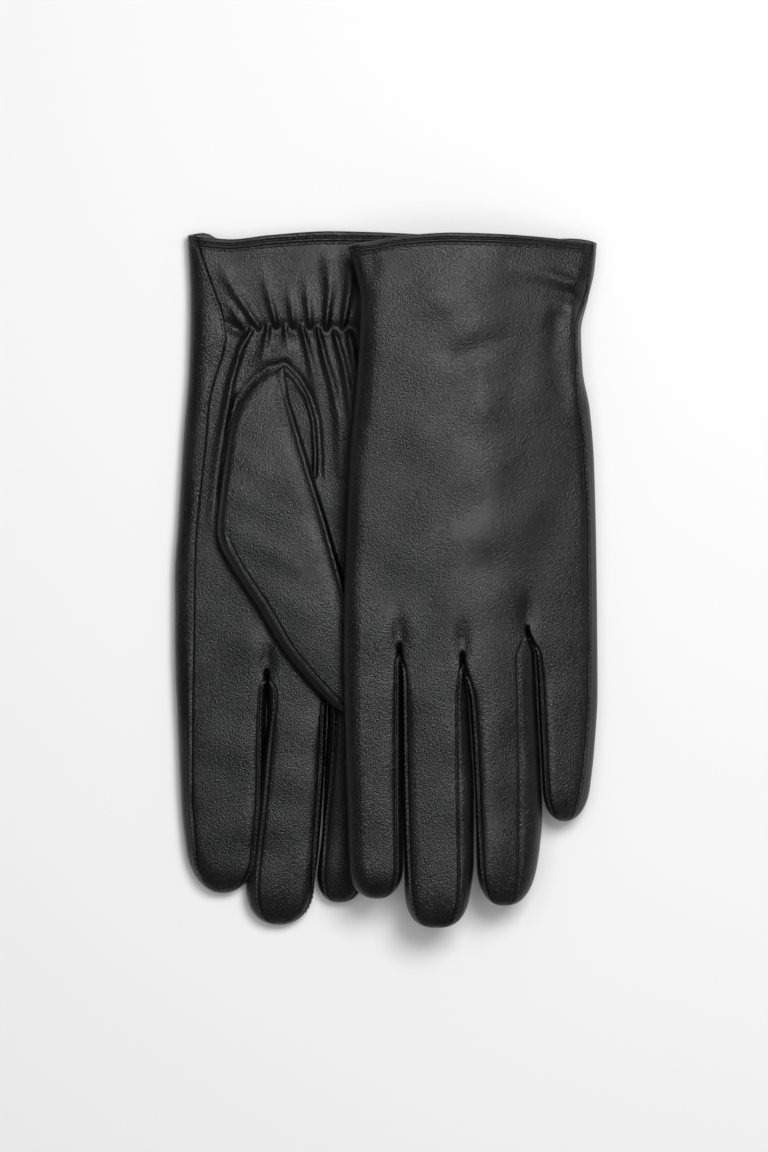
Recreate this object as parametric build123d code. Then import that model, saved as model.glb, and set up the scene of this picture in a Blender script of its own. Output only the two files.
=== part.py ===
from build123d import *

# A pair of lined leather dress gloves, laid flat in their shop fold.
#
# The right glove lies palm up. The left glove lies palm down, partly over it. Each glove is built as it is
# sewn: a back panel that wraps round the forefinger side, a palm panel that wraps round the little finger
# side, six fourchettes between the fingers, a set-in thumb, a cuff hem, an elastic across the palm side of
# the wrist, a lining, a thumb lining and a blank size label. The leather is one soft sheet on the real glove.
# Here it is parted at a crease across the root of each finger, so that the fingers can bend.
#
# Millimetres. +Z is up from the table, +Y runs from the fingertips to the cuffs, +X runs from the right glove
# to the left one. The origin is the middle of the pair's footprint, on the table.

import os
from dataclasses import dataclass
from functools import cache

# ---- driving dimensions -------------------------------------------------------------------------------
PAIR_WIDTH = 152.4  # across both gloves as they lie
LENGTH = 250.0  # cuff edge to the tip of the middle finger
THICKNESS = 9.6  # a glove, flat and empty
LEATHER = 0.8
LINING = 1.0
HEM_WIDTH = 3.6  # the folded and stitched band at the cuff
THUMB_THICKNESS = 7.0
THUMB_LINING = 0.5
THUMB_SWING_GAP = 0.7  # between the left thumb and the bend of the palm over it
PLY_GAP = 0.3  # free air between parts that slide over each other
FINGER_GAP = 0.8  # between neighbouring fingers
CREASE_GAP = 0.3  # between a finger and the hand, where it bends
RIGHT_EDGE_HEIGHT = 2.0  # underside of the left glove at its free edge, above the table

WRIST_Y = -36.0  # the elastic, below the cuff edge
ELASTIC_WIDTH = 6.0
ELASTIC_THICKNESS = 0.5
ELASTIC_SPAN = (20.0, 78.0)  # from and to, across the glove

THUMB_BASE_RADIUS = 17.0
THUMB_TIP_RADIUS = 8.0
THUMB_REACH = 84.0  # base centre to tip centre
THUMB_RING_RADIUS = 13.5  # outside of the ring that is sewn into the palm
THUMB_BASE_Y = -93.0

LABEL_WIDTH, LABEL_LENGTH, LABEL_THICKNESS = 14.0, 18.0, 0.3

DRAPE_RADIUS = 60.0  # bend of the left glove where it comes off the right one
DRAPE_X = 48.0  # where its two slopes would meet, from its forefinger edge
LEFT_WIDTH = 91.4  # the left glove across its knuckles

ROOT_OVERLAP = 10.0  # how far a finger's plan runs up into the hand
REACH = 60.0  # more than any height or overhang, for cutting tools
THUMB_LOW = THICKNESS + PLY_GAP  # both thumbs lie side by side between the gloves


@dataclass(frozen=True)
class Finger:
    """A finger seen from above: its sides at the root, and the middle and radius of its tip."""

    name: str
    left: float
    right: float
    tip_x: float
    tip_y: float
    tip_radius: float
    crease_y: float  # where it bends


@dataclass(frozen=True)
class Glove:
    """One glove in its own plan: x from the forefinger edge, y from the cuff edge (negative to the tips)."""

    side: str
    x: float  # the forefinger edge, in the pair's frame
    palm_up: bool
    left_edge: tuple  # (x, y) down the forefinger side, cuff to finger root
    right_edge: tuple  # (x, y) down the little finger side
    fingers: tuple
    fork_ys: tuple  # the three forks
    thumb_x: float
    thumb_angle: float  # direction of the thumb from its base, degrees from +X

    @property
    def bends(self):
        return not self.palm_up

    @property
    def root_y(self):
        """Where the fingers' straight sides start, a little way into the hand."""
        return max(self.fork_ys) + ROOT_OVERLAP


RIGHT = Glove(
    side="right",
    x=-PAIR_WIDTH / 2,
    palm_up=True,
    left_edge=((4.7, 0), (5.6, WRIST_Y), (2.6, -80), (0.5, -118), (0.4, -160)),
    right_edge=((91, 0), (86, WRIST_Y), (90.5, -80), (93.5, -118), (95.2, -160)),
    fingers=(
        Finger("index", 0.0, 33.2, 15.8, -238.5, 11.2, -166.0),
        Finger("middle", 33.2, 54.6, 40.2, -LENGTH, 11.2, -174.0),
        Finger("ring", 54.6, 75.6, 62.6, -241.6, 10.2, -184.0),
        Finger("little", 75.6, 95.8, 84.0, -212.0, 9.6, -162.0),
    ),
    fork_ys=(-158.0, -162.0, -150.0),
    thumb_x=31.7,
    thumb_angle=-65.8,
)

LEFT = Glove(
    side="left",
    x=PAIR_WIDTH / 2 - LEFT_WIDTH,
    palm_up=False,
    left_edge=((2.6, 0), (5.8, WRIST_Y), (2.2, -85), (0.6, -125), (0.2, -160)),
    right_edge=((91.2, 0), (85.6, WRIST_Y), (89.6, -75), (91.0, -120), (91.1, -160)),
    fingers=(
        Finger("index", 0.0, 20.6, 12.0, -239.0, 9.6, -155.0),
        Finger("middle", 20.6, 43.8, 34.2, -LENGTH, 11.2, -158.0),
        Finger("ring", 43.8, 68.6, 57.6, -242.0, 11.2, -158.0),
        Finger("little", 68.6, 91.4, 80.8, -212.0, 9.8, -149.0),
    ),
    fork_ys=(-148.6, -151.4, -142.0),
    thumb_x=28.0,
    thumb_angle=-85.0,
)


# ---- the curved layers --------------------------------------------------------------------------------
def flat_height():
    """Underside of the left glove where it lies on the right one and on that one's thumb."""
    return THUMB_LOW + THUMB_THICKNESS + THUMB_SWING_GAP


def under_line(glove, height):
    """The glove's underside seen from the cuff, raised by height, from the forefinger side outwards."""
    past = 8.0  # how far the line runs beyond the glove on both sides
    if not glove.bends:
        return [Line((-past, height), (PAIR_WIDTH, height))]
    top, end = flat_height(), RIGHT_EDGE_HEIGHT
    slope = (end - top) / (LEFT_WIDTH - DRAPE_X)
    lowest = (LEFT_WIDTH + past, end + slope * past + height)
    corners = [(-past, top + height), (DRAPE_X, top + height), lowest]
    return list(FilletPolyline(*corners, radius=DRAPE_RADIUS).edges().sort_by(Axis.X))


@cache
def layer(glove, low, high):
    """Everything between two heights above the glove's underside, as one long solid."""
    bottom, top = under_line(glove, low), under_line(glove, high)
    ends = [Line(bottom[0] @ 0, top[0] @ 0), Line(bottom[-1] @ 1, top[-1] @ 1)]
    face = make_face([*bottom, *top, *ends])
    upright = Plane.XZ * face
    length = LENGTH + 2 * REACH
    return Pos(0, REACH, 0) * extrude(upright, amount=length, dir=(0, -1, 0))


def column(sketch):
    """A plan drawn in the glove's own frame, as an upright solid that passes through every layer."""
    return extrude(Pos(0, 0, -REACH) * sketch, amount=2 * REACH)


# ---- plans --------------------------------------------------------------------------------------------
def finger_plan(finger, inset, root_y):
    """A tapering finger with a round tip, drawn inset by a wall thickness."""
    radius = finger.tip_radius - inset
    centre_y = finger.tip_y + finger.tip_radius
    half_gap = FINGER_GAP / 2 + inset
    sides = make_face(
        Polyline(
            (finger.left + half_gap, root_y),
            (finger.tip_x - radius, centre_y),
            (finger.tip_x + radius, centre_y),
            (finger.right - half_gap, root_y),
            close=True,
        )
    )
    return sides + Pos(finger.tip_x, centre_y) * Circle(radius)


def hand_plan(glove, inset, past_cuff=0.0):
    """The hand from the cuff to the forks, drawn inset by a wall thickness."""
    left = [(x + inset, y) for x, y in glove.left_edge]
    right = [(x - inset, y) for x, y in glove.right_edge]
    forks = [
        (finger.right, y + inset) for finger, y in zip(glove.fingers[:-1], glove.fork_ys)
    ]
    top_left, top_right = (left[0][0], past_cuff), (right[0][0], past_cuff)
    edges = [
        Spline(*left),
        Polyline(left[-1], *forks, right[-1]),
        Spline(*right),
    ]
    if past_cuff:
        edges += [Line(left[0], top_left), Line(right[0], top_right)]
    return make_face([*edges, Line(top_left, top_right)])


@cache
def plan(glove, inset=0.0, past_cuff=0.0):
    """The whole outline, hand and four fingers."""
    outline = hand_plan(glove, inset, past_cuff)
    for finger in glove.fingers:
        outline += finger_plan(finger, inset, glove.root_y)
    return outline


def band(glove, from_line, to_line):
    """The part of the plan between two lines down the glove, each given as x at the root and x at the tip."""
    root_y, tip_y = LENGTH * -0.3, LENGTH * -1.1
    reach = (tip_y - root_y) / (LENGTH * -1 - root_y)

    def foot(line):
        return (line[0] + (line[1] - line[0]) * reach, tip_y)

    corners = [(from_line[0], root_y), foot(from_line), foot(to_line), (to_line[0], root_y)]
    return make_face(Polyline(*corners, close=True))


def middle_line(finger):
    return ((finger.left + finger.right) / 2, finger.tip_x)


def fork_line(glove, index):
    """The line down the gap between two neighbouring fingers."""
    left, right = glove.fingers[index], glove.fingers[index + 1]
    at_tip = (left.tip_x + left.tip_radius + right.tip_x - right.tip_radius) / 2
    return (left.right, at_tip)


def beside(glove, on_little_side):
    """All the ground on the outer side of the middle of an outer finger."""
    line = middle_line(glove.fingers[-1 if on_little_side else 0])
    far = REACH if on_little_side else -REACH
    lines = sorted([line, (line[0] + far, line[1] + far)])
    hand = Pos(line[0] + far / 2, -0.2 * LENGTH) * Rectangle(REACH, 0.6 * LENGTH)
    return band(glove, *lines) + hand


def below_cuff(y):
    """Everything on the finger side of a line across the glove."""
    return Pos(50, y - LENGTH) * Rectangle(4 * REACH, 2 * LENGTH)


def finger_zone(glove, finger, crease_gap):
    """One finger's own ground, from its crease to its tip."""
    ground = finger_plan(finger, -FINGER_GAP / 4, glove.root_y)
    if finger is glove.fingers[0]:
        ground += beside(glove, on_little_side=False)
    if finger is glove.fingers[-1]:
        ground += beside(glove, on_little_side=True)
    return ground & below_cuff(finger.crease_y - crease_gap)


@cache
def hand_zone(glove):
    """Everything but the fingers."""
    ground = Rectangle(4 * REACH, 3 * LENGTH)
    for finger in glove.fingers:
        ground -= finger_zone(glove, finger, 0)
    return ground


# ---- the pieces of one glove --------------------------------------------------------------------------
def outer_wall(glove, zone, on_little_side):
    """The side wall that a panel makes by wrapping round one edge of the glove."""
    ring = plan(glove) - plan(glove, LEATHER, past_cuff=LEATHER)
    side = beside(glove, on_little_side)
    return column(ring & side & below_cuff(-HEM_WIDTH) & zone) & layer(glove, LEATHER, THICKNESS - LEATHER)


def plate(glove, zone, low):
    """A flat panel of leather over the outline, below the hem."""
    return column(plan(glove) & below_cuff(-HEM_WIDTH) & zone) & layer(glove, low, low + LEATHER)


def palm_low(glove):
    """Height of the palm panel's lower face above the glove's underside."""
    return THICKNESS - LEATHER if glove.palm_up else 0.0


def back_low(glove):
    return 0.0 if glove.palm_up else THICKNESS - LEATHER


def thumb_hole(glove, radius):
    """An upright cylinder on the axis that the thumb turns about."""
    return Pos(glove.thumb_x, THUMB_BASE_Y, -REACH) * extrude(Circle(radius), amount=3 * REACH)


def palm_side(glove, depth):
    """The half of the glove's thickness next to the palm, where the thumb hole is cut."""
    if glove.palm_up:
        return layer(glove, THICKNESS - depth, THICKNESS + 1)
    return layer(glove, -1, depth)


def back_leather(glove, zone, wraps):
    """The back, with the forefinger side's wall where it wraps round."""
    panel = plate(glove, zone, back_low(glove))
    return panel + outer_wall(glove, zone, on_little_side=False) if wraps else panel


def palm_leather(glove, zone, wraps):
    """The palm, with the little finger side's wall where it wraps round."""
    panel = plate(glove, zone, palm_low(glove))
    return panel + outer_wall(glove, zone, on_little_side=True) if wraps else panel


def palm_hole(glove, depth):
    """What the thumb's ring passes through, down to a depth below the palm."""
    return thumb_hole(glove, THUMB_RING_RADIUS + PLY_GAP) & palm_side(glove, depth)


def fourchettes(glove, finger, zone):
    """The side strips of one finger, by name."""
    i = glove.fingers.index(finger)
    ring = plan(glove) - plan(glove, LEATHER)
    middle = middle_line(finger)
    sides = {}
    if i > 0:
        sides["inner"] = band(glove, fork_line(glove, i - 1), middle)
    if i < len(glove.fingers) - 1:
        sides["outer"] = band(glove, middle, fork_line(glove, i))
    inside = layer(glove, LEATHER, THICKNESS - LEATHER)
    return {f"fourchette_{side}": column(ring & region & zone) & inside for side, region in sides.items()}


def fourchette_roots(glove):
    """Where the strips pass round the three forks, on the hand's side of the creases."""
    ring = plan(glove) - plan(glove, LEATHER)
    between = band(glove, middle_line(glove.fingers[0]), middle_line(glove.fingers[-1]))
    inside = layer(glove, LEATHER, THICKNESS - LEATHER)
    return column(ring & between & hand_zone(glove)) & inside


def cuff_hem(glove):
    """The folded band round the mouth of the glove, in line with the panels and the lining."""
    depth = LEATHER + LINING
    outer = plan(glove) - below_cuff(-HEM_WIDTH)
    inner = hand_plan(glove, depth, past_cuff=depth)
    return (column(outer) & layer(glove, 0, THICKNESS)) - (
        column(inner) & layer(glove, depth, THICKNESS - depth)
    )


def elastic(glove):
    start, end = ELASTIC_SPAN
    strip = Pos((start + end) / 2, WRIST_Y) * Rectangle(end - start, ELASTIC_WIDTH)
    low = palm_low(glove) - ELASTIC_THICKNESS if glove.palm_up else LEATHER
    return column(strip) & layer(glove, low, low + ELASTIC_THICKNESS)


def lining(glove, zone):
    """The inner glove, open at the cuff and through the creases."""
    depth = LEATHER + LINING
    below = below_cuff(-HEM_WIDTH) & zone
    outside = column(plan(glove, LEATHER) & below) & layer(glove, LEATHER, THICKNESS - LEATHER)
    inside = column(plan(glove, depth, past_cuff=depth) & zone) & layer(glove, depth, THICKNESS - depth)
    return outside - inside


def size_label(glove):
    """A blank woven label on the lining of the back, just inside the cuff."""
    centre_x = (glove.left_edge[0][0] + glove.right_edge[0][0]) / 2
    tab = Pos(centre_x, -HEM_WIDTH - LABEL_LENGTH / 2 - 1) * Rectangle(LABEL_WIDTH, LABEL_LENGTH)
    depth = LEATHER + LINING
    low = depth if glove.palm_up else THICKNESS - depth - LABEL_THICKNESS
    return column(tab) & layer(glove, low, low + LABEL_THICKNESS)


def thumb_plan(glove, inset):
    """A round base that tapers to a round tip."""
    base = THUMB_BASE_RADIUS - inset
    tip = THUMB_TIP_RADIUS - inset
    taper = Polyline((0, base), (THUMB_REACH, tip), (THUMB_REACH, -tip), (0, -base), close=True)
    shape = make_face(taper) + Circle(base) + Pos(THUMB_REACH, 0) * Circle(tip)
    return Pos(glove.thumb_x, THUMB_BASE_Y) * Rot(0, 0, glove.thumb_angle) * shape


def slab(low, high):
    """Everything between two heights above the table."""
    return Pos(0, 0, low) * extrude(Rectangle(4 * REACH, 3 * LENGTH), amount=high - low)


def thumb_slab(inset):
    """The flat slice of height that both thumbs fill."""
    return slab(THUMB_LOW + inset, THUMB_LOW + THUMB_THICKNESS - inset)


def ring_slab(glove, depth):
    """From the inside of the hand to the inside of the thumb, where the thumb's ring stands."""
    reach = LEATHER + LINING
    if glove.palm_up:
        return slab(THICKNESS - reach, THUMB_LOW + depth)
    thumb_high = THUMB_LOW + THUMB_THICKNESS
    return slab(thumb_high - depth, thumb_high + REACH) & layer(glove, -REACH / 2, reach)


def thumb_tube(glove, outside, inside, ring_radius):
    """A flat tube of one ply with the ring that joins it to the hand, open right through."""
    skin = inside - outside
    bore = thumb_hole(glove, ring_radius - skin)
    tube = (column(thumb_plan(glove, outside)) & thumb_slab(outside)) - (
        column(thumb_plan(glove, inside)) & thumb_slab(inside)
    )
    ring = (thumb_hole(glove, ring_radius) & ring_slab(glove, inside)) - bore
    return tube - (bore & ring_slab(glove, inside)) + ring


def thumb_pieces(glove):
    lined = LEATHER + THUMB_LINING
    leather = thumb_tube(glove, 0.0, LEATHER, THUMB_RING_RADIUS)
    inner = thumb_tube(glove, LEATHER, lined, THUMB_RING_RADIUS - LEATHER)
    return {"thumb": leather, "thumb_lining": inner}


def finger_pieces(glove, finger):
    zone = finger_zone(glove, finger, CREASE_GAP)
    made = {
        "back": back_leather(glove, zone, wraps=finger is glove.fingers[0]),
        "palm": palm_leather(glove, zone, wraps=finger is glove.fingers[-1]),
        "lining": lining(glove, zone),
    }
    made.update(fourchettes(glove, finger, zone))
    return {f"{finger.name}_{name}": piece for name, piece in made.items()}


def pieces(glove):
    """Every piece of one glove, by name."""
    zone = hand_zone(glove)
    made = {
        "back_panel": back_leather(glove, zone, wraps=True),
        "palm_panel": palm_leather(glove, zone, wraps=True) - palm_hole(glove, LEATHER),
        "fourchette_roots": fourchette_roots(glove),
        "cuff_hem": cuff_hem(glove),
        "wrist_elastic": elastic(glove),
        "hand_lining": lining(glove, zone) - palm_hole(glove, LEATHER + 2 * LINING) - elastic(glove),
        "size_label": size_label(glove),
    }
    made.update(thumb_pieces(glove))
    for finger in glove.fingers:
        made.update(finger_pieces(glove, finger))
    return made


def main():
    os.makedirs("parts", exist_ok=True)
    for glove in (RIGHT, LEFT):
        place = Pos(glove.x, LENGTH / 2, 0)
        for name, piece in pieces(glove).items():
            solids = (place * piece).solids()
            export_step(Compound(children=list(solids)), f"parts/{glove.side}_{name}.step")


main()
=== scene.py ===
"""A pair of black leather gloves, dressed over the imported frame.

Each glove is drawn in its own plane in millimetres: x from its left edge, y from the cuff's edge, negative
towards the fingertips. It is only placed in the frame, in metres, when its meshes are made. The skin of a
glove is one structured shell. It is cut along its seams and at the roots of its fingers into the pieces that
the frame names. Every piece keeps the shell's normals, so the leather runs on smoothly across a cut.
"""

import math
from dataclasses import dataclass, field

import bpy
import numpy as np
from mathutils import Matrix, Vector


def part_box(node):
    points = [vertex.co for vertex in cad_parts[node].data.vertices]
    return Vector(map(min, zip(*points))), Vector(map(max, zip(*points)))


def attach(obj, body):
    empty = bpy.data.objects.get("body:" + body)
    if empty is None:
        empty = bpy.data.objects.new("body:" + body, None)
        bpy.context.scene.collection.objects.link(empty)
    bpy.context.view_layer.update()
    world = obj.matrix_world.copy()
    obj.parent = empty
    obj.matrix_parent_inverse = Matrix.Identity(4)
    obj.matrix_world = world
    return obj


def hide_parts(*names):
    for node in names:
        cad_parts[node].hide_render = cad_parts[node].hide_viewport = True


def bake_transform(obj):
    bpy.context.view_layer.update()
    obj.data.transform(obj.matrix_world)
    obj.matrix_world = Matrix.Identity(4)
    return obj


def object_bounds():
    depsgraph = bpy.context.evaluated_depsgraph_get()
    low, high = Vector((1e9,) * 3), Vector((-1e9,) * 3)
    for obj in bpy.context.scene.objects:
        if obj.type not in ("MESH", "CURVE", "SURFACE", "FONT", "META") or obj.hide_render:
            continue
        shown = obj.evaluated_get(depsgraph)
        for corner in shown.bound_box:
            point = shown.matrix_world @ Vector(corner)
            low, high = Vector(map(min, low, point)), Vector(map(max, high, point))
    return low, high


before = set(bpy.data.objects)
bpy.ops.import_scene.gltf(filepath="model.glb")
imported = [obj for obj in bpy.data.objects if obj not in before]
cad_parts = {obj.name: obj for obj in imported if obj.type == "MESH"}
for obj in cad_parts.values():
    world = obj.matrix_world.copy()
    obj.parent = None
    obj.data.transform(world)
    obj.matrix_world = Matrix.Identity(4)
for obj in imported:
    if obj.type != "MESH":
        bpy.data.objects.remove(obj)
CAD_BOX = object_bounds()

MM = 0.001
PAIR_LOW = np.array(CAD_BOX[0]) / MM
PAIR_HIGH = np.array(CAD_BOX[1]) / MM
CUFF_Y = PAIR_HIGH[1]  # the cuffs' edge in the frame

FINGERS = ("index", "middle", "ring", "little")

# heights of the left glove's underside, as it comes off the right one
DROP_START, DROP_END = 17.6, 2.0
DROP_X, DROP_RADIUS, LEFT_WIDTH = 48.0, 60.0, 91.4

HAND_LENGTH = 150.0  # nominal, from the cuff to the forks
HEM = 3.6  # depth of the hem
STITCH_LINE = 1.9  # the hem's upper row of stitches, below the edge
ROLL = 0.7  # radius of the rolled edge
LINING_INSET = 1.9  # the lining's face, inside the leather's
CUFF_CORNER = 5.0  # how round the mouth turns at the glove's two edges
HAND_HEIGHT, FINGER_HEIGHT, MOUTH_HEIGHT = 4.3, 4.0, 3.3  # from the middle of the glove to its skin
SKIN_LIFT = 0.3  # what the lowest skin keeps clear of its support
OUTER_RADIUS, FORK_RADIUS, FINGER_RADIUS = 6.5, 1.5, 5.5
FORK_REACH = 26  # depth below a fork at which a finger's edges are fully round
GUSSET_RADIUS = 1.8  # the fourchettes' turn round a fork
INSIDE_ROWS = 12  # rows of the skin from inside the hem to its outer face
LINING_START = 5.0  # depth of the lining's edge below the cuff's
LINING_ROWS = (50, 40)  # rows of the lining on the hand and on each finger
PALM_CENTRE, PALM_HALF = 47.0, 43.0  # the middle of a hand and half its width, for layers inside it

# relief, as (height, distance outwards from the seam, width)
SEAM_RIDGE, SEAM_GROOVE = (0.45, 0.55, 0.42), (0.50, -0.35, 0.38)
SEAM_ASIDE = 4  # a finger's seams run this far from its fork's line on the hand, where they don't show
SEAM_FADE = 7  # a seam that starts at a fork rises over this length
HEM_STEP, HEM_STEP_WIDTH = 0.45, 0.8
# the hem's relief, as (height, width)
UPPER_ROW, LOWER_ROW, BETWEEN_ROWS = (0.42, 0.32), (0.34, 0.32), (0.16, 0.4)
DIMPLE_SIZE, DIMPLE_HEIGHT = (2.8, 7.0), -1.1  # the hollow in the hand above each fork
CROWN = 0.6  # how much a finger is rounder than flat
# unevenness of each face, as (height, wavelength)
TOP_RIPPLE, UNDER_RIPPLE = (0.17, 21.0), (0.08, 34.0)

ELASTIC_SPAN = (20.0, 78.0)
ELASTIC_DEPTHS = (33.0, 39.0)  # below the cuff's edge
ELASTIC_INSETS = (1.0, 1.45)  # the tape's two faces, inside the leather's
ELASTIC_STEPS = (116, 9)
LABEL_STEPS = (15, 19)
LABEL_LIFT = 0.25  # how far the label lies off the lining
THUMB_PIVOTS = {"right": (31.7, -93.0), "left": (28.0, -93.0)}
THUMB_HEIGHT = 6.3
THUMB_RISE = 0.34  # share of a thumb's length over which it comes up to its full height
THUMB_LINING_INSET = 1.1

THREAD_RADIUS = 0.26  # of the hem's thread
SEAM_THREAD_RADIUS = THREAD_RADIUS * 0.85
THREAD_SIDES = 6
# one stitch, as (share of its length, share of the thread's radius, rise above the leather)
STITCH_SHAPE = (
    (-0.5, 0.35, -0.16), (-0.4, 0.85, -0.03), (0.0, 1.0, 0.05), (0.4, 0.85, -0.03), (0.5, 0.35, -0.16)
)
HEM_PITCH, HEM_STITCH = 2.3, 1.6
SEAM_PITCH, SEAM_STITCH = 1.9, 1.2
SEAM_STITCH_OFFSET = 0.5  # how far outside a seam its stitches run
FLOOR_GAP = 0.05
FLOOR_HALF = 2.0  # metres


# ---- small numeric helpers ----------------------------------------------------------------------------
def hermite(t, a, m, b, n):
    """From a with slope m, at t = 0, to b with slope n, at t = 1."""
    rise = 3 * t**2 - 2 * t**3
    return (2 * t**3 - 3 * t**2 + 1) * a + (t**3 - 2 * t**2 + t) * m + rise * b + (t**3 - t**2) * n


def bell(value, centre, width):
    """1 at the centre, falling away on both sides."""
    return np.exp(-(((value - centre) / width) ** 2))


def line_of(*points):
    """x as a smooth function of y, through points given as (x, y) from the cuff down."""
    ys = np.array([-y for _, y in points], float)
    xs = np.array([x for x, _ in points], float)
    steps = np.diff(xs) / np.diff(ys)
    slopes = np.empty_like(xs)
    slopes[0], slopes[-1] = steps[0], steps[-1]
    same_way = steps[:-1] * steps[1:] > 0
    mean = 2 * steps[:-1] * steps[1:] / np.where(same_way, steps[:-1] + steps[1:], 1)
    slopes[1:-1] = np.where(same_way, mean, 0)

    def at(y):
        down = np.clip(-np.asarray(y, float), ys[0], ys[-1])
        i = np.clip(np.searchsorted(ys, down) - 1, 0, len(ys) - 2)
        h = ys[i + 1] - ys[i]
        t = (down - ys[i]) / h
        return hermite(t, xs[i], slopes[i] * h, xs[i + 1], slopes[i + 1] * h)

    return at


def ease(low, high, value):
    """0 below low, 1 above high, smooth between."""
    t = np.clip((np.asarray(value, float) - low) / (high - low), 0, 1)
    return t * t * (3 - 2 * t)


def edge_round(distance, radius):
    """Height, from 0 at an edge to 1 a radius inside it, as a quarter round."""
    return np.sqrt(np.clip(1 - (1 - np.clip(distance / radius, 0, 1)) ** 2, 0, 1))


def ripple(x, y, seed, wavelength, waves=9):
    """A soft random unevenness between about -1 and 1."""
    rng = np.random.default_rng(seed)
    total = np.zeros_like(x)
    for _ in range(waves):
        angle, phase = rng.uniform(0, 2 * np.pi, 2)
        k = 2 * np.pi / (wavelength * rng.uniform(0.7, 1.6))
        total += np.sin(k * (x * np.cos(angle) + y * np.sin(angle)) + phase)
    return total / math.sqrt(waves)


@dataclass
class Fold:
    """A ridge (or a valley, with negative height) along a line of (x, y) points."""

    points: tuple
    height: tuple  # at the start and at the end of the line
    width: tuple

    def __call__(self, x, y):
        p = np.array(self.points, float)
        lengths = np.hypot(*np.diff(p, axis=0).T)
        travelled = np.concatenate([[0], np.cumsum(lengths)]) / lengths.sum()
        best = np.full(x.shape, 1e9)
        along = np.zeros(x.shape)
        for a, b, t0, t1 in zip(p[:-1], p[1:], travelled[:-1], travelled[1:]):
            d = b - a
            t = np.clip(((x - a[0]) * d[0] + (y - a[1]) * d[1]) / (d @ d), 0, 1)
            far = np.hypot(x - a[0] - t * d[0], y - a[1] - t * d[1])
            nearer = far < best
            best = np.where(nearer, far, best)
            along = np.where(nearer, t0 + t * (t1 - t0), along)
        height = self.height[0] + (self.height[1] - self.height[0]) * along
        width = self.width[0] + (self.width[1] - self.width[0]) * along
        return height * np.exp(-((best / width) ** 2))


@dataclass
class Swell:
    """A broad soft hill, or a hollow with negative height."""

    centre: tuple
    size: tuple
    height: float
    turn: float = 0.0  # degrees

    def __call__(self, x, y):
        c, s = math.cos(math.radians(self.turn)), math.sin(math.radians(self.turn))
        u = (x - self.centre[0]) * c + (y - self.centre[1]) * s
        v = (y - self.centre[1]) * c - (x - self.centre[0]) * s
        return self.height * np.exp(-((u / self.size[0]) ** 2) - (v / self.size[1]) ** 2)


# ---- the gloves' own measures -------------------------------------------------------------------------
@dataclass
class Finger:
    """The side lines and seam lines of a finger, from the cuff to its tip, and the shape of the tip."""

    left: object
    left_seam: object
    right_seam: object
    right: object
    tip_y: float
    tip_length: float
    tip_power: float = 2.3

    def narrowing(self, y):
        """1 along the finger, falling to 0 over the round tip."""
        t = np.clip((self.tip_y + self.tip_length - y) / self.tip_length, 0, 1)
        return (1 - t**self.tip_power) ** (1 / self.tip_power)

    def thinning(self, y):
        """The same for the finger's height."""
        t = np.clip((self.tip_y + self.tip_length - y) / self.tip_length, 0, 1)
        return np.sqrt(1 - t**2)


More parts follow.
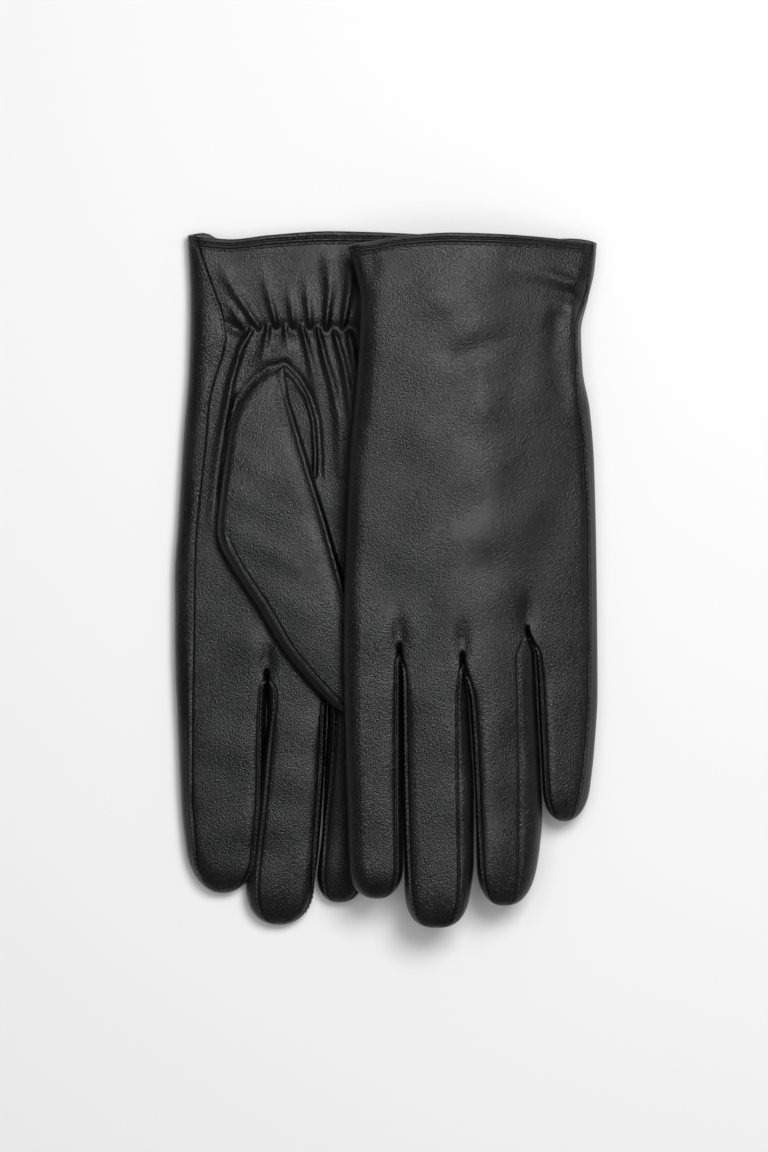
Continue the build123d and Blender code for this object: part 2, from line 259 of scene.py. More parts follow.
@dataclass
class Glove:
    """One glove's measures, seen from above."""

    side: str
    origin_x: float  # the forefinger edge in the frame
    palm_up: bool
    fingers: tuple
    forks: tuple  # y of the three forks
    root_ends: tuple  # y of the finger roots' line at the two outer edges
    cuff_top: object  # y of the cuff's edge as a function of x, upper layer
    cuff_bottom: object
    fork_lines: tuple = ()  # the lines that run from the cuff to the forks
    folds: list = field(default_factory=list)
    side_seam: str = "left"  # the outer seam seen from above

    def underside(self, x):
        """Height of the glove's lowest skin: flat, or bent down off the glove that lies under it."""
        x = np.asarray(x, float)
        if self.palm_up:
            return np.zeros_like(x)
        slope = (DROP_END - DROP_START) / (LEFT_WIDTH - DROP_X)
        angle = math.atan(-slope)
        reach = DROP_RADIUS * math.tan(angle / 2)
        start, end = DROP_X - reach, DROP_X + reach * math.cos(angle)
        arc = DROP_START - DROP_RADIUS + np.sqrt(np.maximum(DROP_RADIUS**2 - (x - start) ** 2, 1))
        line = DROP_START + slope * (x - DROP_X)
        return np.where(x < start, DROP_START, np.where(x < end, arc, line))

    def edge(self, i, right):
        """One side line of finger i, with the line to the fork above it."""
        finger = self.fingers[i]
        own = finger.right if right else finger.left
        k = i if right else i - 1
        if k < 0 or k > 2:
            return own
        return lambda y: np.where(y >= self.forks[k], self.fork_lines[k](y), own(y))

    def fork_points(self):
        return [(float(line(y)), y) for line, y in zip(self.fork_lines, self.forks)]

    def cuff(self, x, upper):
        """The mouth's edge, y at x. Both layers meet at the sides."""
        top = self.cuff_top(x)
        if upper:
            return top
        first, last = self.fingers[0].left(0), self.fingers[3].right(0)
        inside = edge_round(np.minimum(x - first, last - x), CUFF_CORNER)
        return top + (self.cuff_bottom(x) - top) * inside

    def below_cuff(self, x, s, upper):
        """y at x, a distance s below the cuff's edge."""
        return self.cuff(x, upper) - s * (self.cuff(x, upper) - self.root(x)) / HAND_LENGTH

    def root(self, x):
        """The line across the finger roots, y at x."""
        (x1, y1), (x2, y2), (x3, y3) = self.fork_points()
        ends = (self.fingers[0].left(self.root_ends[0]), self.fingers[3].right(self.root_ends[1]))
        xs = [ends[0], x1, x2, x3, ends[1]]
        return np.interp(x, xs, [self.root_ends[0], y1, y2, y3, self.root_ends[1]])

    def column_x(self, i, strip, t, y):
        """x at y of a column: a share t of the way across one strip of finger i."""
        finger = self.fingers[i]
        lines = (self.edge(i, False), finger.left_seam, finger.right_seam, self.edge(i, True))
        a, b = lines[strip](y), lines[strip + 1](y)
        return a + t * (b - a)

    def columns_x(self, i, columns, y):
        """x of every column, each at its own y."""
        return np.stack([self.column_x(i, k, t, y[:, n]) for n, (k, t) in enumerate(columns)], 1)

    def place(self, x, y, z):
        """From the glove's own millimetres to metres in the frame."""
        return np.stack([(self.origin_x + x) * MM, (CUFF_Y + y) * MM, z * MM], -1)


def across(*points):
    """y as a smooth function of x, through (x, y) points from left to right."""
    at = line_of(*[(y, -x) for x, y in points])
    return lambda x: at(-np.asarray(x, float))


def beside(line, offset):
    """A fork's line down the hand, without the fork, moved aside for the seam that runs next to it."""
    return [(x + offset, y) for x, y in line[:-1]]


def right_glove():
    """Palm up: the forefinger side's seam is seen, and the gathers of the elastic."""
    fork_1 = ((26, 0), (27, -36), (31, -110), (33.4, -158.5))
    fork_2 = ((48, 0), (47, -36), (51, -110), (55, -164))
    fork_3 = ((70, 0), (67, -36), (73, -100), (76, -150))
    index = Finger(
        left=line_of(
            (4.7, 0), (5.8, -25), (5.4, -46), (3.2, -75), (1.4, -104), (0.1, -125), (0.1, -147), (1.4, -183),
            (2.6, -208), (4.2, -222), (5.6, -230), (6.2, -240),
        ),
        left_seam=line_of(
            (7, 0), (9, -7.6), (13.7, -21), (17.3, -31.5), (18, -37), (16.9, -44), (14, -53), (11.9, -62),
            (10.8, -75), (9.2, -90), (7.6, -106), (6.8, -122), (6.6, -140), (6.1, -171), (6, -203),
            (7.4, -222), (8.6, -240),
        ),
        right_seam=line_of(
            *beside(fork_1, -SEAM_ASIDE), (33.3, -158.5), (30.8, -166), (30.2, -203), (28.6, -222),
            (27, -240)
        ),
        right=line_of(*fork_1, (33.3, -166), (32.8, -180), (31.8, -203), (30.6, -222), (28.6, -240)),
        tip_y=-238,
        tip_length=13,
        tip_power=2,
    )
    middle = Finger(
        left=line_of(*fork_1, (33.4, -172), (31, -195), (28.4, -215), (26, -232), (25.6, -250)),
        left_seam=line_of(
            *beside(fork_1, SEAM_ASIDE), (33.5, -158.5), (36.4, -166), (34.4, -187), (32.2, -212),
            (30, -234), (29.6, -250)
        ),
        right_seam=line_of(
            *beside(fork_2, -SEAM_ASIDE), (54.9, -164), (53.2, -172), (52.6, -190), (50.6, -220), (49, -250)
        ),
        right=line_of(*fork_2, (54.9, -172), (54.2, -190), (52.2, -220), (50.2, -238), (49.6, -250)),
        tip_y=-249.4,
        tip_length=13.5,
        tip_power=2.2,
    )
    ring = Finger(
        left=line_of(*fork_2, (55.2, -172), (54.4, -190), (53.2, -215), (51.2, -232), (50, -242)),
        left_seam=line_of(
            *beside(fork_2, SEAM_ASIDE), (55.1, -164), (58.2, -172), (56.9, -195), (54.9, -214), (53, -242)
        ),
        right_seam=line_of(
            *beside(fork_3, -SEAM_ASIDE), (75.9, -150), (73.6, -160), (72, -195), (69, -220), (67, -242)
        ),
        right=line_of(*fork_3, (75.4, -160), (74, -195), (71, -220), (68.6, -242)),
        tip_y=-241.4,
        tip_length=13,
    )
    little = Finger(
        left=line_of(*fork_3, (76.6, -160), (76, -190), (75.4, -212)),
        left_seam=line_of(
            *beside(fork_3, SEAM_ASIDE), (76.1, -150), (78.2, -160), (77.6, -190), (77, -212)
        ),
        right_seam=line_of((87, 0), (82.5, -36), (87, -80), (91, -118), (92.6, -160), (91, -212)),
        right=line_of((91, 0), (86.4, -36), (90.5, -80), (93.5, -118), (95.2, -160), (93.6, -212)),
        tip_y=-212,
        tip_length=12,
    )
    below_elastic = [
        Fold(
            ((27.7, -35.6), (24.1, -42), (20.6, -54), (18.4, -67), (15.8, -84), (14.6, -103)), (1.7, 0.4),
            (0.9, 2.6)
        ),
        Fold(((33.8, -34.6), (32.4, -42.5), (31.4, -47)), (1.5, 0.3), (0.9, 2)),
        Fold(((40, -34.6), (40.9, -40.5)), (1.4, 0.3), (0.8, 1.8)),
        Fold(((46, -34.6), (49, -46), (50.6, -54), (52, -62)), (1.6, 0.2), (0.9, 2)),
        Fold(((51.8, -35.3), (54.7, -47.5), (57, -55), (59.4, -68), (60.2, -86)), (1.7, 0.4), (0.9, 2.6)),
        Fold(((57.8, -36.4), (61, -47.5), (62.6, -57), (63.6, -72)), (1.6, 0.3), (0.9, 2.4)),
        Fold(((62.9, -36), (64.2, -44), (66, -56)), (1.5, 0.2), (0.9, 2.2)),
        Fold(((69, -36), (71, -46), (74, -60)), (1.5, 0.2), (0.9, 2.2)),
    ]
    above_elastic = [
        Fold(((25.2, -34.6), (21.6, -28.8), (18.6, -25)), (1.2, 0.2), (0.9, 1.8)),
        Fold(((30.6, -34.6), (23.8, -24.5), (18.4, -15.5)), (1.6, 0.5), (0.9, 2.4)),
        Fold(((36.7, -33.4), (34.4, -24), (32, -15)), (1.3, 0.2), (0.9, 2.2)),
        Fold(((43.2, -33.8), (41.4, -21.2)), (1.2, 0.2), (0.9, 2)),
        Fold(((49, -33.8), (47.7, -19.4)), (1.4, 0.3), (0.9, 2.2)),
        Fold(((54.7, -34.6), (56, -21), (55.4, -10)), (1.7, 0.5), (0.9, 2.6)),
        Fold(((60.8, -33.8), (63.2, -20), (63.5, -13)), (1.6, 0.4), (0.9, 2.4)),
        Fold(((66.6, -34), (68.4, -21)), (1.4, 0.2), (0.9, 2.4)),
        Fold(((72, -34), (74, -22)), (1.3, 0.2), (0.9, 2.4)),
    ]
    others = [  # the elastic's own channel, the ridges round the thumb's hole, and broad swells
        Fold(((22, -35.2), (78, -35.2)), (-1.3, -1.3), (2.6, 2.6)),
        Fold(((19.4, -33), (24.5, -36.5), (29, -40)), (-0.8, -0.2), (1.6, 1.8)),
        Fold(
            ((39.6, -49.2), (43.6, -53), (47.5, -59.4), (50, -68), (50.8, -80), (50.6, -88)), (0.7, 0.9),
            (0.7, 0.7)
        ),
        Fold(
            ((41, -48), (45.4, -52.5), (49.3, -59.4), (51.8, -68), (52.6, -80), (52.4, -88)), (-0.8, -0.6),
            (0.9, 0.9)
        ),
        Swell((38, -44), (7, 3.2), 0.9, 20),
        Fold(
            ((39.5, -47.5), (33.6, -49), (27.6, -54), (22.4, -61), (19.6, -70), (17.4, -84), (15.4, -104)),
            (-0.9, -0.5), (1.3, 1.3)
        ),
        Fold(((66, -62), (66, -110)), (0.6, 0.2), (4, 6)),
        Swell((34, -178), (24, 60), 1.5),
        Swell((24, -146), (10, 7), 0.5, -30),
        Swell((46, -156), (6, 8), 0.45, -30),
    ]
    return Glove(
        side="right",
        origin_x=PAIR_LOW[0],
        palm_up=True,
        fingers=(index, middle, ring, little),
        forks=(-158.5, -164, -150),
        root_ends=(-158, -156),
        cuff_top=across((4.7, -1.1), (13, -2.2), (20, -2.7), (34, -1.2), (56, 0.2), (74, -0.2), (91, -1)),
        cuff_bottom=across((4.7, -0.6), (10, -0.2), (17, -3), (91, -3)),
        fork_lines=(line_of(*fork_1), line_of(*fork_2), line_of(*fork_3)),
        folds=below_elastic + above_elastic + others,
        side_seam="left",
    )


def left_glove():
    """Back up: the little finger side's seam is seen, and the soft dents of an empty glove."""
    fork_1 = ((22, 0), (22, -36), (20, -110), (20.2, -149))
    fork_2 = ((46, 0), (46, -36), (43.6, -110), (42.8, -152))
    fork_3 = ((69, 0), (68, -36), (67.4, -100), (66, -142.5))
    index = Finger(
        left=line_of(
            (2.4, 0), (2, -5), (4.6, -15), (6.3, -24), (5.8, -40), (4.3, -60), (1.8, -89), (0.6, -120),
            (0, -154), (0.5, -180), (1.4, -210), (2.6, -240),
        ),
        left_seam=line_of((9.4, 0), (11, -36), (8, -100), (6, -154), (6.4, -210), (7.6, -240)),
        right_seam=line_of(
            *beside(fork_1, -SEAM_ASIDE), (20.1, -149), (19.2, -157), (19.1, -200), (19.4, -240)
        ),
        right=line_of(*fork_1, (20.8, -157), (21.1, -200), (21.7, -226), (21.4, -240)),
        tip_y=-239.4,
        tip_length=12.5,
    )
    middle = Finger(
        left=line_of(*fork_1, (20.9, -157), (21.2, -200), (21.9, -226), (22.4, -250)),
        left_seam=line_of(
            *beside(fork_1, SEAM_ASIDE), (20.3, -149), (22.3, -160), (22.9, -195), (23.8, -226),
            (25.2, -250)
        ),
        right_seam=line_of(
            *beside(fork_2, -SEAM_ASIDE), (42.7, -152), (41.1, -168), (41.1, -195), (41.7, -230), (41, -250)
        ),
        right=line_of(
            *fork_2, (44.8, -168), (46.1, -187), (46.9, -203), (46.9, -226), (45.2, -242), (44.8, -250)
        ),
        tip_y=-249.8,
        tip_length=14.5,
        tip_power=2.6,
    )
    ring = Finger(
        left=line_of(*fork_2, (45.3, -168), (46.6, -187), (47.4, -203), (47.9, -226), (48.8, -242)),
        left_seam=line_of(
            *beside(fork_2, SEAM_ASIDE), (42.9, -152), (46.8, -168), (48.2, -190), (49.2, -215),
            (50.8, -242)
        ),
        right_seam=line_of(
            *beside(fork_3, -SEAM_ASIDE), (65.9, -142.5), (62.6, -154), (63.2, -172), (63.5, -210),
            (63.2, -230), (62.6, -242)
        ),
        right=line_of(
            *fork_3, (68.6, -152), (69.7, -170), (71, -195), (71.6, -210), (70.6, -222), (68.6, -234),
            (67.4, -242)
        ),
        tip_y=-242,
        tip_length=14.5,
        tip_power=2.5,
    )
    little = Finger(
        left=line_of(*fork_3, (69.2, -152), (70.4, -175), (71.4, -195), (72, -212)),
        left_seam=line_of(
            *beside(fork_3, SEAM_ASIDE), (66.1, -142.5), (70.6, -153), (72, -175), (73, -195), (74, -212)
        ),
        right_seam=line_of(
            (90.2, 0), (88, -20), (83.6, -36), (84.6, -60), (86.8, -78), (88.4, -110), (88.6, -140),
            (88.4, -164), (87.4, -184), (85.2, -201), (83.4, -212),
        ),
        right=line_of(
            (91.6, 0), (90.4, -14), (88.2, -24), (85.6, -36), (86.2, -50), (88.8, -64), (90.4, -85),
            (91.2, -120), (91.6, -165), (90.4, -186), (88.6, -202), (87.2, -212),
        ),
        tip_y=-212,
        tip_length=12.5,
    )
    folds = [
        Swell((35.5, -25), (7, 6), 0.55),
        Swell((46, -35), (9, 4.5), 0.6, 25),
        Fold(((40, -45.5), (48, -42.5), (57, -39.5)), (-0.35, -0.5), (3.8, 3.8)),
        Fold(((49, -49), (49.5, -64)), (0.5, 0.2), (3.4, 5)),
        Fold(((62, -13), (72, -15.5), (83, -19)), (0.3, 0.9), (2.6, 2.2)),
        Fold(((62, -19), (75, -22), (86, -24)), (-0.2, -0.8), (2.8, 2.6)),
        Fold(((82.8, -28), (83.3, -42), (84, -58)), (0.9, 0.3), (2.2, 3)),
        Fold(((76.5, -32), (75.5, -46), (78, -60)), (-0.8, -0.2), (3.4, 4)),
        Swell((20, -18), (8, 8), -0.5),
        Swell((70, -62), (14, 12), 0.6),
        Swell((22, -52), (10, 22), 0.5),
        Swell((60, -108), (14, 12), 0.5),
        Swell((54, -120), (12, 8), -0.5, -20),
        Swell((30, -100), (14, 24), 0.5),
        Fold(((10, -12), (9, -40), (6, -80)), (-0.5, -0.3), (3, 4)),
        Swell((4, -176), (16, 44), 0.7),
        Swell((10, -146), (7, 9), 0.5),
        Swell((31, -162), (7, 9), 0.6),
        Swell((50, -162), (7, 9), 0.6),
        Swell((78, -150), (7, 9), 0.5),
    ]
    return Glove(
        side="left",
        origin_x=PAIR_HIGH[0] - LEFT_WIDTH,
        palm_up=False,
        fingers=(index, middle, ring, little),
        forks=(-149, -152, -142.5),
        root_ends=(-149, -142),
        cuff_top=across(
            (1.8, -5.4), (12, -4), (21, -2.2), (39, -1), (57, -1.4), (71, -2.2), (82, -3.2), (92, -4.4)
        ),
        cuff_bottom=across((1.8, -5), (20, -3), (70, -3.4), (82, -2.4), (92, -3.2)),
        fork_lines=(line_of(*fork_1), line_of(*fork_2), line_of(*fork_3)),
        folds=folds,
        side_seam="right",
    )


# ---- the skin -----------------------------------------------------------------------------------------
def fork_radius(depth):
    """How round the skin turns over beside a fork or a finger, depth below the fork."""
    return FORK_RADIUS + (FINGER_RADIUS - FORK_RADIUS) * ease(0, FORK_REACH, depth)


def slit_round(glove, i, right, x, y):
    """The turning over of the skin at the gap beside a finger, and round the fork above it."""
    k = i if right else i - 1
    fork_x, fork_y = glove.fork_points()[k]
    beside = np.abs(x - glove.edge(i, right)(y))
    distance = np.where(y > fork_y, np.hypot(x - fork_x, y - fork_y), beside)
    return edge_round(distance, fork_radius(fork_y - y))


def fullness(glove, i, x, y, on_finger):
    """0 at the edges of the glove and of its fingers, 1 well inside them."""
    full = np.ones_like(x)
    if i == 0 or not on_finger:
        full = full * edge_round(x - glove.fingers[0].left(y), OUTER_RADIUS)
    if i == 3 or not on_finger:
        full = full * edge_round(glove.fingers[3].right(y) - x, OUTER_RADIUS)
    for k in range(3):
        if k == i - 1:
            full = full * slit_round(glove, i, False, x, y)
        elif k == i:
            full = full * slit_round(glove, i, True, x, y)
        elif not on_finger:
            fork_x, fork_y = glove.fork_points()[k]
            full = full * edge_round(np.hypot(x - fork_x, y - fork_y), FORK_RADIUS)
    return full


def seam_relief(outwards):
    """A seam's ridge and the groove beside it, by the distance outwards from the seam."""
    ridge, groove = (height * bell(outwards, *shape) for height, *shape in (SEAM_RIDGE, SEAM_GROOVE))
    return ridge - groove


def seams(glove, i, x, y):
    """The relief of the seams seen from above."""
    finger = glove.fingers[i]
    total = np.zeros_like(x)
    if i > 0:
        fade = ease(0, SEAM_FADE, glove.forks[i - 1] - y)
        total = total + fade * seam_relief(finger.left_seam(y) - x)
    elif glove.side_seam == "left":
        total = total + seam_relief(finger.left_seam(y) - x)
    if i < 3:
        fade = ease(0, SEAM_FADE, glove.forks[i] - y)
        total = total + fade * seam_relief(x - finger.right_seam(y))
    elif glove.side_seam == "right":
        total = total + seam_relief(x - finger.right_seam(y))
    return total


def hem_relief(s):
    """The folded hem's thickness and its two rows of stitches, s below the edge."""
    step = HEM_STEP * (1 - ease(HEM, HEM + HEM_STEP_WIDTH, s))
    upper = UPPER_ROW[0] * bell(s, STITCH_LINE, UPPER_ROW[1])
    lower = LOWER_ROW[0] * bell(s, HEM, LOWER_ROW[1])
    ridge = BETWEEN_ROWS[0] * bell(s, (STITCH_LINE + HEM) / 2, BETWEEN_ROWS[1])
    return step - upper - lower + ridge


def skin(glove, i, x, y, upper, inset=0.0, s=None, on_finger=False):
    """Points of the skin at x, y. s is the distance below the cuff on the hand.

    With an inset, they are the points of a layer that far inside the skin.
    """
    finger = glove.fingers[i]
    full = fullness(glove, i, x, y, on_finger)
    below_forks = max(glove.forks) - y
    if on_finger:
        height = FINGER_HEIGHT + (HAND_HEIGHT - FINGER_HEIGHT) * (1 - ease(0, 20, below_forks))
    else:
        height = MOUTH_HEIGHT + (HAND_HEIGHT - MOUTH_HEIGHT) * ease(0, 30, s)
    raised = ease(0, 0.5, full)
    if upper:
        relief = ripple(x, y, 5 if glove.palm_up else 8, TOP_RIPPLE[1]) * TOP_RIPPLE[0]
        for fold in glove.folds:
            relief = relief + fold(x, y)
        for fork_x, fork_y in glove.fork_points():
            relief = relief + Swell((fork_x, fork_y + 4), DIMPLE_SIZE, DIMPLE_HEIGHT)(x, y)
        relief = relief + seams(glove, i, x, y)
        if not on_finger:
            relief = relief + hem_relief(s)
    else:
        relief = ripple(x, y, 11, UNDER_RIPPLE[1]) * UNDER_RIPPLE[0]
        if not on_finger:
            relief = relief + 0.5 * hem_relief(s)
    out = height * full + relief * raised
    centre, half = PALM_CENTRE, PALM_HALF
    if on_finger:
        centre, width = (finger.left(y) + finger.right(y)) / 2, finger.right(y) - finger.left(y)
        half = width / 2
        if upper:
            from_centre = (x - centre) / np.maximum(width, 1)
            out = out + CROWN * raised * (1 - (2 * from_centre) ** 2) * ease(6, 30, below_forks)
        out = out * finger.thinning(y)
        x = centre + finger.narrowing(y) * (x - centre)
    middle = glove.underside(x) + HAND_HEIGHT + SKIN_LIFT
    if np.any(inset):
        x = centre + (x - centre) * (1 - inset / half)
        out = np.maximum(out - inset * full, 0.25 * full)
    return np.stack([x, y + 0 * x, middle + (out if upper else -out)], -1)


def strip_shares(edge_steps, inner_steps, seam_steps=5, seam_zone=0.055):
    """The columns of one finger: (strip, share of the way across it), from its left edge to its right."""
    turn = np.linspace(0, 1, edge_steps + 1)
    edge = 1 - np.cos(turn * np.pi / 2)
    near = np.linspace(0, seam_zone, seam_steps + 1)
    inner = np.concatenate([near, np.linspace(seam_zone, 1 - seam_zone, inner_steps)[1:-1], 1 - near[::-1]])
    columns = [(0, t) for t in edge[:-1]] + [(1, t) for t in inner[:-1]] + [(2, t) for t in 1 - edge[::-1]]
    return columns


TOP_COLUMNS = strip_shares(9, 34)
UNDER_COLUMNS = strip_shares(6, 8, seam_steps=1)


def hand_rows():
    """(s, inset) down the hand: up the inside of the hem, round its roll, and down to the forks."""
    inside = [(8.0, 2 * ROLL), (4.0, 2 * ROLL), (1.5, 2 * ROLL)]
    turns = np.linspace(np.pi, 0, 9)
    roll = [(ROLL * (1 - math.sin(a)), ROLL * (1 - math.cos(a))) for a in turns]
    fine = [(s, 0.0) for s in np.arange(ROLL + 0.2, 6.0, 0.2)]
    coarse = [(s, 0.0) for s in np.linspace(6.0, HAND_LENGTH, 165)]
    return inside + roll + fine + coarse


def hand_xy(glove, i, columns, s, upper):
    """x and y of the columns above one finger, at distances s below the cuff, settled in a few rounds."""
    y = -s + np.zeros(len(columns))
    for _ in range(6):
        x = glove.columns_x(i, columns, y)
        y = glove.below_cuff(x, s, upper)
    return x, y


def hand_grid(glove, i, columns, upper):
    """The hand's skin above one finger, its rows' distances below the cuff, and x and y of its last row."""
    rows = hand_rows()
    s = np.array([r[0] for r in rows])[:, None]
    inset = np.array([r[1] for r in rows])[:, None]
    x, y = hand_xy(glove, i, columns, s, upper)
    grid = skin(glove, i, x, y, upper, s=s + np.zeros_like(x))
    folded = inset[:, 0] > 0
    inner = skin(glove, i, x, y, upper, inset=inset + np.zeros_like(x), s=s + np.zeros_like(x))
    grid[folded] = inner[folded]
    return grid, s[:, 0], (x[-1], y[-1])


def finger_rows(finger, root_y):
    """Shares of the way from the root to the tip, closer together at both ends."""
    length = root_y - finger.tip_y
    near = np.arange(0.3, 4.0, 0.35) / length
    body = np.arange(4.6, length - finger.tip_length, 0.85) / length
    turn = np.linspace(0, np.pi / 2, 20)
    tip = 1 - finger.tip_length / length * (1 - np.sin(turn))
    return np.concatenate([[0.0], near, body, tip])


def finger_grid(glove, i, columns, upper, root):
    """One finger's skin, joined to the hand's at the root."""
    finger = glove.fingers[i]
    root_x, root_y = root
    u = finger_rows(finger, min(root_y.mean(), -100))[:, None]
    y = root_y[None, :] * (1 - u) + finger.tip_y * u
    grid = skin(glove, i, glove.columns_x(i, columns, y), y, upper, on_finger=True)
    on_hand = skin(glove, i, root_x, root_y, upper, s=np.full_like(root_x, HAND_LENGTH))
    step = on_hand - grid[0]
    fade = (1 - ease(0, 0.12, u))[:, :, None]
    return grid + step * fade


class Shell:
    """Many grids of points, merged where they meet, with a label on each face."""

    def __init__(self):
        self.points, self.quads, self.labels, self.count = [], [], [], 0

    def add(self, grid, labels, flip):
        rows, cols, _ = grid.shape
        index = self.count + np.arange(rows * cols).reshape(rows, cols)
        quads = np.stack([index[:-1, :-1], index[1:, :-1], index[1:, 1:], index[:-1, 1:]], -1)
        if flip:
            quads = quads[..., ::-1]
        self.points.append(grid.reshape(-1, 3))
        self.quads.append(quads.reshape(-1, 4))
        self.labels.append(np.asarray(labels).reshape(-1))
        self.count += rows * cols

    def add_alike(self, grid, label, flip):
        """A grid with one label on all its faces."""
        self.add(grid, np.full((grid.shape[0] - 1, grid.shape[1] - 1), label, dtype=object), flip)

    def merge(self):
        """Points that meet become one, and each gets its normal."""
        points = np.concatenate(self.points)
        _, first, inverse = np.unique(np.round(points, 4), axis=0, return_index=True, return_inverse=True)
        self.vertices = points[first]
        self.faces = inverse.reshape(-1)[np.concatenate(self.quads)]
        self.face_labels = np.concatenate(self.labels)
        a, b, c, d = (self.vertices[self.faces[:, n]] for n in range(4))
        normals = np.zeros_like(self.vertices)
        for n in range(4):
            np.add.at(normals, self.faces[:, n], np.cross(c - a, d - b))
        self.normals = normals / np.maximum(np.linalg.norm(normals, axis=1, keepdims=True), 1e-12)

    def piece(self, label):
        """The vertices, faces and normals of one label."""
        faces = self.faces[self.face_labels == label]
        used, local = np.unique(faces, return_inverse=True)
        local = local.reshape(faces.shape)
        trimmed = []
        for face in local.tolist():
            kept = [v for n, v in enumerate(face) if v != face[n - 1]]
            if len(kept) > 2:
                trimmed.append(kept)
        return self.vertices[used], trimmed, self.normals[used]


# ---- making pieces ------------------------------------------------------------------------------------
def make_object(name, points, faces, material, normals=None):
    """A smooth mesh piece from points in metres."""
    mesh = bpy.data.meshes.new(name)
    mesh.from_pydata(points.tolist(), [], faces)
    mesh.polygons.foreach_set("use_smooth", np.ones(len(mesh.polygons), bool))
    if normals is not None:
        mesh.normals_split_custom_set_from_vertices(normals.tolist())
    mesh.materials.append(material)
    obj = bpy.data.objects.new(name, mesh)
    bpy.context.scene.collection.objects.link(obj)
    return obj


def move_with_finger(obj):
    """Bakes the piece's placement into its mesh, where it stays."""
    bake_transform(obj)


def panel_names(glove):
    """The label of each strip of each finger, on the upper and the lower skin."""
    upper, lower = ("palm", "back") if glove.palm_up else ("back", "palm")
    labels = {}
    for i, name in enumerate(FINGERS):
        left = "back" if i == 0 else f"{name}_fourchette_inner"
        right = "palm" if i == 3 else f"{name}_fourchette_outer"
        for face, side in ((True, upper), (False, lower)):
            strips = [left, side, right]
            labels[i, face] = [s if "fourchette" in s else f"{name}_{s}" for s in strips]
            labels[i, face, "hand"] = [left if i == 0 else side, side, right if i == 3 else side]
    return labels


def glove_shell(glove):
    """The whole leather skin of one glove, without its thumb."""
    shell = Shell()
    names = panel_names(glove)
    for upper, columns in ((True, TOP_COLUMNS), (False, UNDER_COLUMNS)):
        strips = [strip for strip, _ in columns[:-1]]
        for i, name in enumerate(FINGERS):
            grid, s, root = hand_grid(glove, i, columns, upper)
            rows = []
            for depth in (s[:-1] + s[1:]) / 2:
                rows.append([("hem" if depth < HEM else names[i, upper, "hand"][k]) for k in strips])
            labels = np.array(rows, dtype=object)
            inside = np.arange(len(s) - 1) < INSIDE_ROWS
            labels[inside] = "hem"
            centres = (grid[:-1, :-1] + grid[1:, 1:]) / 2
            for fork_x, fork_y in glove.fork_points():
                near = np.hypot(centres[..., 0] - fork_x, centres[..., 1] - fork_y) < GUSSET_RADIUS
                labels[near] = "gussets"
            shell.add(grid, labels, not upper)
            grid = finger_grid(glove, i, columns, upper, root)
            labels = [[names[i, upper][k] for k in strips] for _ in range(len(grid) - 1)]
            shell.add(grid, np.array(labels, dtype=object), not upper)
    shell.merge()
    return shell


def dress_leather(glove, leather):
    """The leather pieces of one glove: the hand's pieces hang on the hand's body, and the fingers' pieces are
    baked where they lie.
    """
    shell = glove_shell(glove)
    hand_nodes = {
        "back": "back_panel",
        "palm": "palm_panel",
        "hem": "cuff_hem",
        "gussets": "fourchette_roots",
    }
    for label, node in hand_nodes.items():
        vertices, faces, normals = shell.piece(label)
        name = f"{glove.side}_{label}_leather"
        obj = make_object(name, glove.place(*vertices.T), faces, leather, normals)
        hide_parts(f"{glove.side}_{node}")
        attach(obj, f"{glove.side}_hand")
    for name in FINGERS:
        for label in sorted({x for x in shell.face_labels if x.startswith(name)}):
            vertices, faces, normals = shell.piece(label)
            obj = make_object(
                f"{glove.side}_{label}_leather", glove.place(*vertices.T), faces, leather, normals
            )
            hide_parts(f"{glove.side}_{label}")
            move_with_finger(obj)


def dress_lining(glove, knit):
    """The knitted inner glove, a skin inside the leather."""
    shell = Shell()
    columns = strip_shares(4, 5, seam_steps=1)
    depths = np.linspace(LINING_START, HAND_LENGTH, LINING_ROWS[0])[:, None]
    for upper in (True, False):
        for i, name in enumerate(FINGERS):
            x, y = hand_xy(glove, i, columns, depths, upper)
            s = depths + np.zeros_like(x)
            grid = skin(glove, i, x, y, upper, inset=np.full_like(x, LINING_INSET), s=s)
            shell.add_alike(grid, "hand_lining", not upper)
            finger = glove.fingers[i]
            u = np.linspace(0, 1, LINING_ROWS[1])[:, None] ** 0.8
            y = y[-1][None, :] * (1 - u) + (finger.tip_y + LINING_INSET) * u
            x = glove.columns_x(i, columns, y)
            grid = skin(glove, i, x, y, upper, inset=np.full_like(x, LINING_INSET), on_finger=True)
            shell.add_alike(grid, f"{name}_lining", not upper)
    shell.merge()
    hand = None
    for label in ["hand_lining", *(f"{name}_lining" for name in FINGERS)]:
        vertices, faces, normals = shell.piece(label)
        obj = make_object(
            f"{glove.side}_{label}_knit", glove.place(*vertices.T), faces, knit, normals
        )
        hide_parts(f"{glove.side}_{label}")
        if label == "hand_lining":
            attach(obj, f"{glove.side}_hand")
            hand = obj
        else:
            move_with_finger(obj)
    return hand


def layer_patch(glove, x_range, s_range, upper, inset, steps):
    """A piece of a skin inside the hand, as a grid of points."""
    x = np.linspace(*x_range, steps[0])[None, :] + np.zeros((steps[1], 1))
    x = PALM_CENTRE + (x - PALM_CENTRE) / (1 - inset / PALM_HALF)
    s = np.linspace(*s_range, steps[1])[:, None] + np.zeros_like(x)
    y = glove.below_cuff(x, s, upper)
    return skin(glove, 1, x, y, upper, inset=np.full_like(x, inset), s=s)


